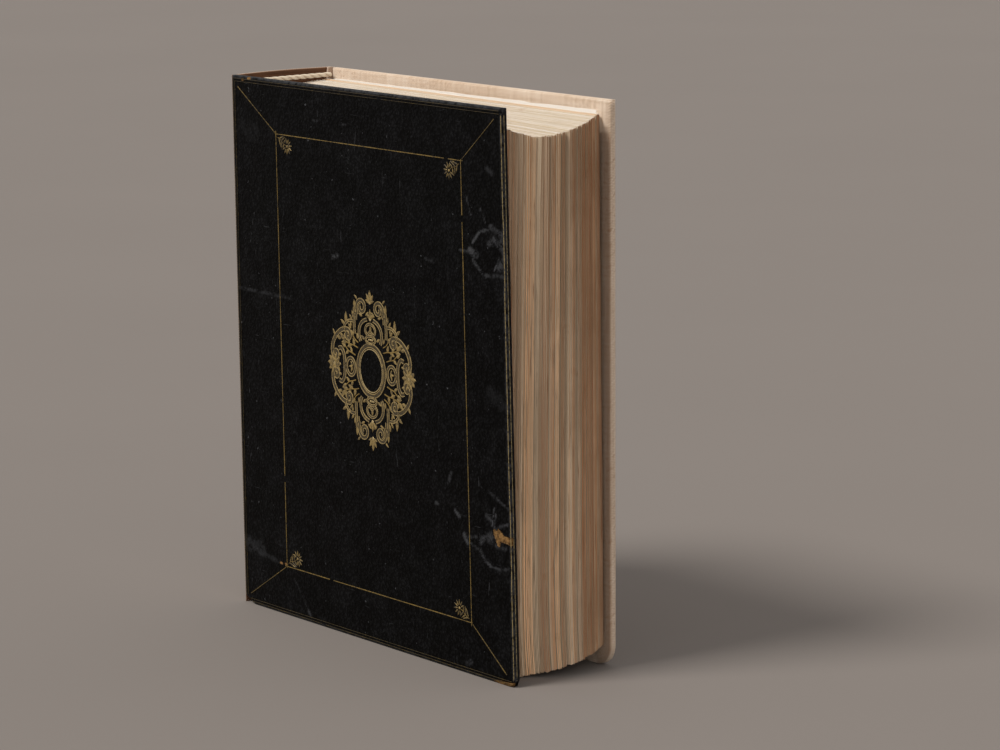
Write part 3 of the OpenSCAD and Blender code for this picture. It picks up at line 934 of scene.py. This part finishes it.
# ---- linen -----------------------------------------------------------------

LINEN_S = LINEN_LOW.x + 4.8 * MM - SPINE_X
WORN_R = 10 * MM


def back_point(s, t, depth):
    """A point of the back cover's linen: s from the joint, with its worn bottom corner."""
    width = COVER_W - LINEN_S
    p = (s - (width - WORN_R)) / WORN_R
    q = (WORN_R - t) / WORN_R
    if p > 0 and q > 0:
        round_p, round_q = p * math.sqrt(1 - q * q / 2), q * math.sqrt(1 - p * p / 2)
        s, t = width - WORN_R + round_p * WORN_R, WORN_R - round_q * WORN_R
    dip = 0.06 * MM * (1 + wave((s, 53 * MM, 0.4, 0.5), (t, 71 * MM, 0.9, 0.5))) if depth < SKIN else 0
    return (SPINE_X + LINEN_S + s * (1 + HEAD_WIDE / width * t / HEAD_Z), BACK_Y - depth - dip, t)


def cloth_co(s, t, depth):
    return {"cloth": (s + depth, t + 0.7 * depth, 0.0), "inside": 0.0}


def back_cloth(s, t, depth):
    """The back cover's cloth, with painted shade on its inner face along the fore edge, where the block's
    shadow falls below a slanting line under the head.
    """
    values = cloth_co(s, t, depth)
    away = COVER_W - LINEN_S - s
    # line is the upper edge of the painted shadow; it drops towards the fore edge, and above it the inner
    # face stays light.
    line = HEAD_Z - 3 * MM - 1.2 * (TURN_IN / 2 - away)
    beside = (1 - smooth(away, 8 * MM, 10 * MM)) * (1 - smooth(t, line - 5 * MM, line + 2 * MM))
    values["inside"] = 0.55 * smooth(depth, 0.7 * COVER_T, COVER_T) * beside
    return values


def back_linen():
    shape = Shape()
    step = 1.6 * MM
    points, faces, stored = board_skin(COVER_W - LINEN_S, step, back_point, back_cloth)
    shape.add(points, [tuple(reversed(f)) for f in faces], stored)
    add_joint_roll(shape)
    shape.stand_in("linen_back_skin", "linen", "back_cover", "back_linen")


def add_joint_roll(shape):
    """The roll of linen that fills the back joint, standing proud inside the board."""
    around, rows = 20, 60
    radius = 2.4 * MM
    cx, cy = SPINE_X + radius, BACK_Y - radius
    points, stored, brown_and_painted_shading = [], [], []
    for j in range(rows + 1):
        z = HEAD_Z * j / rows
        end = min(j, rows - j)
        shrink = 0.82 if end == 0 else 1.0
        for k in range(around):
            a = 2 * math.pi * k / around
            r = radius * shrink * (1 - 0.05 * (0.5 + 0.5 * math.sin(3 * a + z / (9 * MM))))
            points.append((cx + r * math.cos(a), cy + r * math.sin(a), z))
            stored.append((a * radius, z, 0.0))
            # Painted shade: the side of the roll turned away from the light is dark brown.
            brown_and_painted_shading.append(0.75 * smooth(math.cos(a + 0.5), 0.1, 0.8))
    shape.add(points, tube_faces(rows + 1, around), {"cloth": stored, "inside": brown_and_painted_shading})


ARC_R = ((BOOK_T / 2) ** 2 + SPINE_RISE ** 2) / (2 * SPINE_RISE)
ARC_X = SPINE_X + ARC_R - SPINE_RISE
SPINE_T = 1.7 * MM
OTHER_CLOTH = 0.4                            # the inner face shows a stretch of weave this far off, in metres


def spine_cloth(s, t, depth):
    """The spine's cloth coordinates; its inner face, deep in the hollow back, takes painted shade in dark
    brown.
    """
    values = cloth_co(s, t, depth)
    values["inside"] = smooth(depth, 0.7 * MM, SPINE_T)
    return values


def spine_linen():
    """One piece of linen over the hollow back, turned in at head and tail."""
    half_angle = math.asin((BOOK_T / 2 - 0.25 * MM) / ARC_R)
    width = 2 * half_angle * ARC_R

    def place(s, t, depth):
        a = s / ARC_R - half_angle
        taper = min(1.0, (0.3 * MM + min(s, width - s)) / (3.2 * MM))
        r = ARC_R - depth * taper
        return (ARC_X - r * math.cos(a), MID_Y + r * math.sin(a), t)

    rim = 0.35 * MM                              # from the spine's edge to where its inner face starts
    profile = quarter_round(0.5 * MM, 3) + [(0.0, SPINE_T - 0.4 * MM), (rim, SPINE_T)]
    step = 1.5 * MM
    shape = Shape()
    nx, nz = round(width / step), round(HEAD_Z / step)
    points, faces, stored = wrapped_slab(width, HEAD_Z, profile, nx, nz, place, spine_cloth)
    faces.pop()
    steps, _ = border(nx, nz)
    start = len(points) - len(steps)
    index = {cell: start + k for k, cell in enumerate(steps)}
    extra, extra_values, brown_and_painted_shading = [], [], []
    for j in range(1, nz):
        for i in range(1, nx):
            s = rim + (width - 2 * rim) * i / nx
            t = rim + (HEAD_Z - 2 * rim) * j / nz
            index[(i, j)] = len(points) + len(extra)
            extra.append(place(s, t, SPINE_T))
            extra_values.append((s, t + OTHER_CLOTH, 0.0))
            # The inner face is all painted shade.
            brown_and_painted_shading.append(1.0)
    faces += [(index[(i, j)], index[(i, j + 1)], index[(i + 1, j + 1)], index[(i + 1, j)])
              for j in range(nz) for i in range(nx)]
    shape.add(points + extra, faces, {"cloth": stored["cloth"] + extra_values,
                                      "inside": stored["inside"] + brown_and_painted_shading})
    piece = shape.make("linen_spine", "linen")
    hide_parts("spine_linen_front", "spine_linen_back", "spine_card_front", "spine_card_back")
    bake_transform(piece)


# ---- book block ------------------------------------------------------------

PAGE_CORNERS = 4                             # near foot, far foot, far head, near head: near is at the spine
FAR_FOOT, FAR_HEAD = 1, 2
X, Z = 0, 1


def page_corners(node):
    """A gathering's four corners, in that order, as (x, z)."""
    points = [v.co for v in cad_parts[node].data.vertices]
    mid_x = sum(p.x for p in points) / len(points)
    mid_z = sum(p.z for p in points) / len(points)

    def pick(far, head):
        group = [p for p in points if (p.x > mid_x) == far and (p.z > mid_z) == head]
        return (sum(p.x for p in group) / len(group), sum(p.z for p in group) / len(group))

    return pick(False, False), pick(True, False), pick(True, True), pick(False, True)


GATHERINGS = [f"{half}_gathering_{k:02d}" for half in ("front", "rear") for k in range(1, HALF + 1)]
CORNERS = {n: page_corners(n) for n in GATHERINGS}
SPANS = {n: [corner.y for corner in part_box(n)] for n in GATHERINGS}
DEPTHS = [sum(SPANS[n]) / 2 for n in GATHERINGS]
BLOCK_LOW = SPANS[GATHERINGS[0]][0]
BLOCK_HIGH = SPANS[GATHERINGS[-1]][1]


def at_depth(corner, axis, y):
    """A page's corner at depth y, between the gatherings on either side."""
    return float(np.interp(y, DEPTHS, [CORNERS[n][corner][axis] for n in GATHERINGS]))


def lean(x, y, z):
    """How far the leaves lean back where the sagging block spreads at its foot."""
    share = (y - BLOCK_LOW) / (BLOCK_HIGH - BLOCK_LOW)
    out = smooth(x, FOLD_X + 40 * MM, FORE_X)
    held = smooth(share, 0.0, 0.14) * (1 - smooth(share, 0.35, 0.95))
    return 3.0 * MM * held * math.exp(-max(z, 0) / (26 * MM)) * out


def add_leaf(shape, y, thick, rng, look, inset, nx=14, nz=18):
    """One leaf of the block: a thin closed sheet, ragged at its head, foot and fore edge."""
    near_foot, far_foot, far_head, near_head = (at_depth(corner, Z, y) for corner in range(PAGE_CORNERS))
    own = rng.gauss(0, 0.14) * MM - inset + look["proud"] * MM
    foot_x, head_x = at_depth(FAR_FOOT, X, y) + own, at_depth(FAR_HEAD, X, y) + own
    high = rng.gauss(0, 0.13) * MM - inset * 0.4
    low = rng.gauss(0, 0.13) * MM + inset * 0.4
    edge = [rng.gauss(0, 0.06) * MM for _ in range(nz + 1)]
    top = [rng.gauss(0, 0.05) * MM for _ in range(nx + 1)]
    turn = rng.random() * 6
    points = []
    for side in (0, 1):
        for j in range(nz + 1):
            v = j / nz
            for i in range(nx + 1):
                u = i / nx
                x = FOLD_X + (foot_x + (head_x - foot_x) * v - FOLD_X + edge[j]) * u
                foot = near_foot + (far_foot - near_foot) * u + low
                head = near_head + (far_head - near_head) * u + high + top[i]
                z = foot + (head - foot) * v
                sway = 0.05 * MM * u * u * math.sin(v * 9 + turn)
                points.append((x, y + thick * side + sway + lean(x, y, z), z))
    faces = sheet_faces(nx, nz)
    sides = [0.0] * (2 * nx * nz)
    rim = range(2 * (nx + nz))
    fore = sides + [float(nx <= k < nx + nz) for k in rim]
    head_and_foot = sides + [float(k < nx or nx + nz <= k < 2 * nx + nz) for k in rim]
    count = len(faces)
    share = (y - BLOCK_LOW) / (BLOCK_HIGH - BLOCK_LOW)
    brown_and_painted_shading = [fore_edge_brown_and_shading(share, p[2] / HEAD_Z) for p in points]
    values = {name: [look[name]] * count for name in ("tone", "hue", "bleached", "rusty")}
    shape.add(points, faces, {"brown_and_painted_shading": brown_and_painted_shading}, {**values, "fore": fore, "head": head_and_foot})


def fore_edge_brown_and_shading(share, up):
    """How brown the fore edge is: most at the back and the head, least at the foot in front, where painted
    light makes it paler as the leaves there curve towards the lamp.
    """
    painted_light_patch = (1 - smooth(up, 0.0, 0.55)) * (1 - smooth(share, 0.1, 0.85))
    brown = 0.17 + 0.76 * smooth(share, 0.12, 0.95) + 0.40 * smooth(up, 0.4, 1.0) - 0.25 * painted_light_patch
    return min(max(brown, 0), 1)


BLEACHED, RUSTY = 9, 5                       # leaves at the back of the block


def leaf_looks(count, rng):
    """How each leaf looks: its bands of tone and hue are a few leaves wide, and it has a little of its own.

    A band also stands proud or back; the last leaves are bleached, with a rusty line before them."""
    looks = []
    tone = hue = 0.5
    proud = 0.0
    for k in range(count):
        if rng.random() < 0.26:
            tone = 1.5 * rng.random() - 0.25
            proud = rng.gauss(0, 0.24)
        if rng.random() < 0.22:
            hue = 1.4 * rng.random() - 0.2
        behind = count - k
        looks.append({"tone": min(max(tone + rng.gauss(0, 0.10), 0), 1),
                      "hue": min(max(hue + rng.gauss(0, 0.12), 0), 1), "proud": proud,
                      "bleached": 1.0 if behind <= BLEACHED else 0.0,
                      "rusty": 1.0 if BLEACHED < behind <= BLEACHED + RUSTY else 0.0})
    return looks


def gatherings():
    rng = random.Random(1871)
    leaves = 8
    looks = leaf_looks(leaves * len(GATHERINGS), rng)
    for g, node in enumerate(GATHERINGS):
        shape = Shape()
        low, high = SPANS[node]
        pitch = (high - low) / leaves
        loose = rng.random() * 0.22
        for k in range(leaves):
            thick = pitch * (0.94 - loose * (k == leaves - 1))
            step_in = (0.35 * MM if k in (0, leaves - 1) else 0.0) + (0.6 * MM if rng.random() < 0.06 else 0)
            add_leaf(shape, low + pitch * k, thick, rng, looks[g * leaves + k], step_in)
        block = "front_block" if node.startswith("front") else "rear_block"
        shape.stand_in("leaves_" + node, "paper", block, node, smooth=False)


def loose_leaves():
    rng = random.Random(33)
    look = {"tone": 0.5, "hue": 0.4, "proud": 0.0, "bleached": 0.0, "rusty": 0.0}
    for k in (1, 2, 3):
        low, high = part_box(f"leaf_{k}")
        shape = Shape()
        add_leaf(shape, low.y, high.y - low.y, rng, look, 1.0 * MM, 20, 24)
        shape.stand_in(f"loose_leaf_sheet_{k}", "paper", f"loose_leaf_{k}", f"leaf_{k}", smooth=False)


SHEET_NX, SHEET_NZ = 30, 36
FLYLEAF_SHORT = 0.4 * MM                      # how much a flyleaf stays below the block at head and foot


def thin_sheet(node, name, body, bleached, place):
    """A closed thin sheet in a node's place, bleached along its head; place(u, y, v) gives its points."""
    low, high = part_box(node)
    points = [place(i / SHEET_NX, y, j / SHEET_NZ) for y in (low.y, high.y)
              for j in range(SHEET_NZ + 1) for i in range(SHEET_NX + 1)]
    paled = [bleached * smooth(p[2], high.z - 14 * MM, high.z - 5 * MM) for p in points]
    shape = Shape()
    shape.add(points, sheet_faces(SHEET_NX, SHEET_NZ), {"bleached": paled})
    shape.stand_in(name, "endpaper", body, node, smooth=False)


def pastedown(side, bleached, rng):
    """The paper glued to a board's inside, a little ragged along its rim."""
    node = side + "_pastedown"
    low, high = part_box(node)
    ragged = [rng.gauss(0, 0.12) * MM for _ in range(80)]

    def place(u, y, v):
        rough = ragged[int(v * SHEET_NZ)] if u in (0.0, 1.0) else 0.0
        rise = ragged[40 + int(u * SHEET_NX)] if v in (0.0, 1.0) else 0.0
        return (low.x + (high.x - low.x) * u + rough, y, low.z + (high.z - low.z) * v + rise)

    thin_sheet(node, side + "_paste_sheet", side + "_cover", bleached, place)


def flyleaf(side, bleached):
    """The free leaf between a cover and the block."""
    node = side + "_flyleaf"
    low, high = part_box(node)
    y_mid = (low.y + high.y) / 2
    near_foot, far_foot, far_head, near_head = (at_depth(k, Z, y_mid) for k in range(PAGE_CORNERS))

    def place(u, y, v):
        foot = near_foot * (1 - u) + far_foot * u + FLYLEAF_SHORT
        head = near_head * (1 - u) + far_head * u - FLYLEAF_SHORT
        x = low.x + (high.x - low.x) * u
        return (x, y + 0.08 * MM * math.sin(5 * v) * u, foot + (head - foot) * v)

    thin_sheet(node, node + "_sheet", side + "_endpaper", bleached, place)


def endpapers():
    """Pastedowns glued to the boards, and the two flyleaves; those at the back are bleached."""
    rng = random.Random(7)
    sides = (("front", 0.0), ("back", 0.9))
    for side, bleached in sides:
        pastedown(side, bleached, rng)
    for side, bleached in sides:
        flyleaf(side, bleached)


def joint_strip(name, route, start, end):
    """A strip of paper in an inner joint: its route runs across the joint, in mm from the spine's front edge.

    start and end, places given in the same way, are not used."""
    path = curve_through(route, 4)
    half = 0.07 * MM
    rows = 40
    foot, head = 0.06 * HEAD_Z, 0.95 * HEAD_Z
    outline = []
    for side in (1, -1):
        beside = [(SPINE_X + x * MM + side * half * wx, FRONT_Y + y * MM + side * half * wy)
                  for (x, y), (wx, wy) in zip(path, left_of(path))]
        outline += beside[::side]
    around = len(outline)
    points = []
    for j in range(rows + 1):
        z = foot + (head - foot) * j / rows
        points += [(x, y, z) for x, y in outline]
    faces = tube_faces(rows + 1, around, closed_ends=False)
    last = rows * around
    for k in range(around // 2 - 1):
        mate = around - 1 - k
        faces.append((k + 1, k, mate, mate - 1))
        faces.append((last + k, last + k + 1, last + mate - 1, last + mate))
    shape = Shape()
    shape.add(points, faces, {"bleached": [0.0] * len(points)})
    piece = shape.make(name, "endpaper")
    places = [(SPINE_X + x * MM, FRONT_Y + y * MM, 0) for x, y in (start, end)]
    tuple(places[0])
    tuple(places[1])
    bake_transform(piece)


def joint_strips():
    """The paper that joins each cover's inside to the block, folded away while the book is closed."""
    joint_strip("joint_paper_front",
                [(4.35, 4.48), (3.2, 4.33), (1.9, 4.16), (0.8, 4.02), (0.35, 3.88), (0.7, 3.74), (4.2, 3.70)],
                (2.0, 4.45), (2.0, 3.88))
    joint_strip("joint_paper_back",
                [(4.5, 52.55), (3.9, 52.52), (3.2, 52.22), (2.4, 52.08), (1.5, 52.24), (0.9, 52.6)],
                (4.2, 52.4), (1.1, 52.4))


# ---- headbands and linings -------------------------------------------------

def twisted_band(name, node, body, meets):
    """A roll of two twisted strands, worked over the folds; one of its ends meets the other half's."""
    low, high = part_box(node)
    start, stop = (MID_Y, high.y) if meets < 0 else (low.y, MID_Y)
    radius = (high.z - low.z) / 2
    cx, cz = (low.x + high.x) / 2, (low.z + high.z) / 2
    around, rows = 28, 110
    twist = 2 * math.pi / (4.2 * MM)
    shape = Shape()
    points, painted_groove_shade = [], []
    for j in range(rows + 1):
        y = start + (stop - start) * j / rows
        end = j if meets > 0 else rows - j
        shrink = 0.55 if end == 0 else 0.85 if end == 1 else 1.0
        for k in range(around):
            a = 2 * math.pi * k / around
            groove = abs(math.sin(a + y * twist / 2)) ** 0.6
            r = radius * shrink * (0.72 + 0.28 * groove)
            points.append((cx + r * math.cos(a), y, cz + r * math.sin(a)))
            # Where the radius dips between the strands, the thread takes painted shade.
            painted_groove_shade.append(1 - groove)
    shape.add(points, tube_faces(rows + 1, around), {"painted_groove_shade": painted_groove_shade})
    shape.stand_in(name, "headband", body, node)


def bands():
    for where in ("headband", "tailband"):
        twisted_band(f"{where}_roll_front", f"{where}_front", "front_block", 1)
        twisted_band(f"{where}_roll_back", f"{where}_back", "rear_block", -1)


def cad_finishes():
    """The frame's own nodes that stay in sight take the real materials."""
    for node, slot in (("front_board", "board"), ("back_board", "board"), ("lining_front", "lining"),
                       ("lining_back", "lining")):
        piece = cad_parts[node]
        piece.data.materials.clear()
        piece.data.materials.append(MATERIALS[slot])


# ---- studio ----------------------------------------------------------------

CAMERA_PLACE = (1414.2, -932.8, 413.7)      # mm from the spine edge of the front board
HEADING, PITCH, ROLL = (math.radians(a) for a in (-52.458, 10.277, -0.81))
FOCAL_SHARE = 3.663                         # focal length over the picture's width


def camera():
    level = math.cos(PITCH)
    forward = Vector((level * math.sin(HEADING), level * math.cos(HEADING), -math.sin(PITCH)))
    right = forward.cross(Vector((0, 0, 1))).normalized()
    up = right.cross(forward)
    turned_right = math.cos(ROLL) * right + math.sin(ROLL) * up
    turned_up = -math.sin(ROLL) * right + math.cos(ROLL) * up
    data = bpy.data.cameras.new("camera")
    data.sensor_width = 36
    data.lens = FOCAL_SHARE * data.sensor_width
    data.clip_start = 0.01
    item = bpy.data.objects.new("camera", data)
    bpy.context.scene.collection.objects.link(item)
    turn = Matrix((turned_right, turned_up, -forward)).transposed().to_4x4()
    place = Vector((SPINE_X, FRONT_Y, 0)) + Vector(CAMERA_PLACE) * MM
    item.matrix_world = Matrix.Translation(place) @ turn
    bpy.context.scene.camera = item


def sun_light(name, toward, angle, strength, color):
    """A soft distant light that shines from the way of toward."""
    data = bpy.data.lights.new(name, "SUN")
    data.angle = math.radians(angle)
    data.energy = strength
    data.color = color
    item = bpy.data.objects.new(name, data)
    item.rotation_euler = Vector(toward).to_track_quat("Z", "Y").to_euler()
    bpy.context.scene.collection.objects.link(item)


def studio():
    mesh = bpy.data.meshes.new("floor")
    near, far = -9.0, 9.0
    mesh.from_pydata([(near, near, 0), (far, near, 0), (far, far, 0), (near, far, 0)], [], [(0, 1, 2, 3)])
    mesh.materials.append(studio_floor())
    floor = bpy.data.objects.new("floor", mesh)
    bpy.context.scene.collection.objects.link(floor)
    world = bpy.data.worlds.new("studio")
    world.use_nodes = True
    world.node_tree.nodes["Background"].inputs["Color"].default_value = (0.85, 0.83, 0.82, 1)
    world.node_tree.nodes["Background"].inputs["Strength"].default_value = 0.65
    bpy.context.scene.world = world
    sun_light("key", (-0.26, -1.0, 1.4), 20, 2.75, (1.0, 0.96, 0.91))
    sun_light("fill", (1.0, -0.35, 0.5), 40, 0.46, (1.0, 0.93, 0.86))
    bpy.context.scene.view_settings.view_transform = "Standard"


# ---- making it -------------------------------------------------------------

camera()
studio()
front_leather()
outer_fillets()
inner_frame()
mitre_lines()
corner_fleurons()
centre_ornament()
back_linen()
spine_linen()
gatherings()
loose_leaves()
endpapers()
joint_strips()
bands()
cad_finishes()
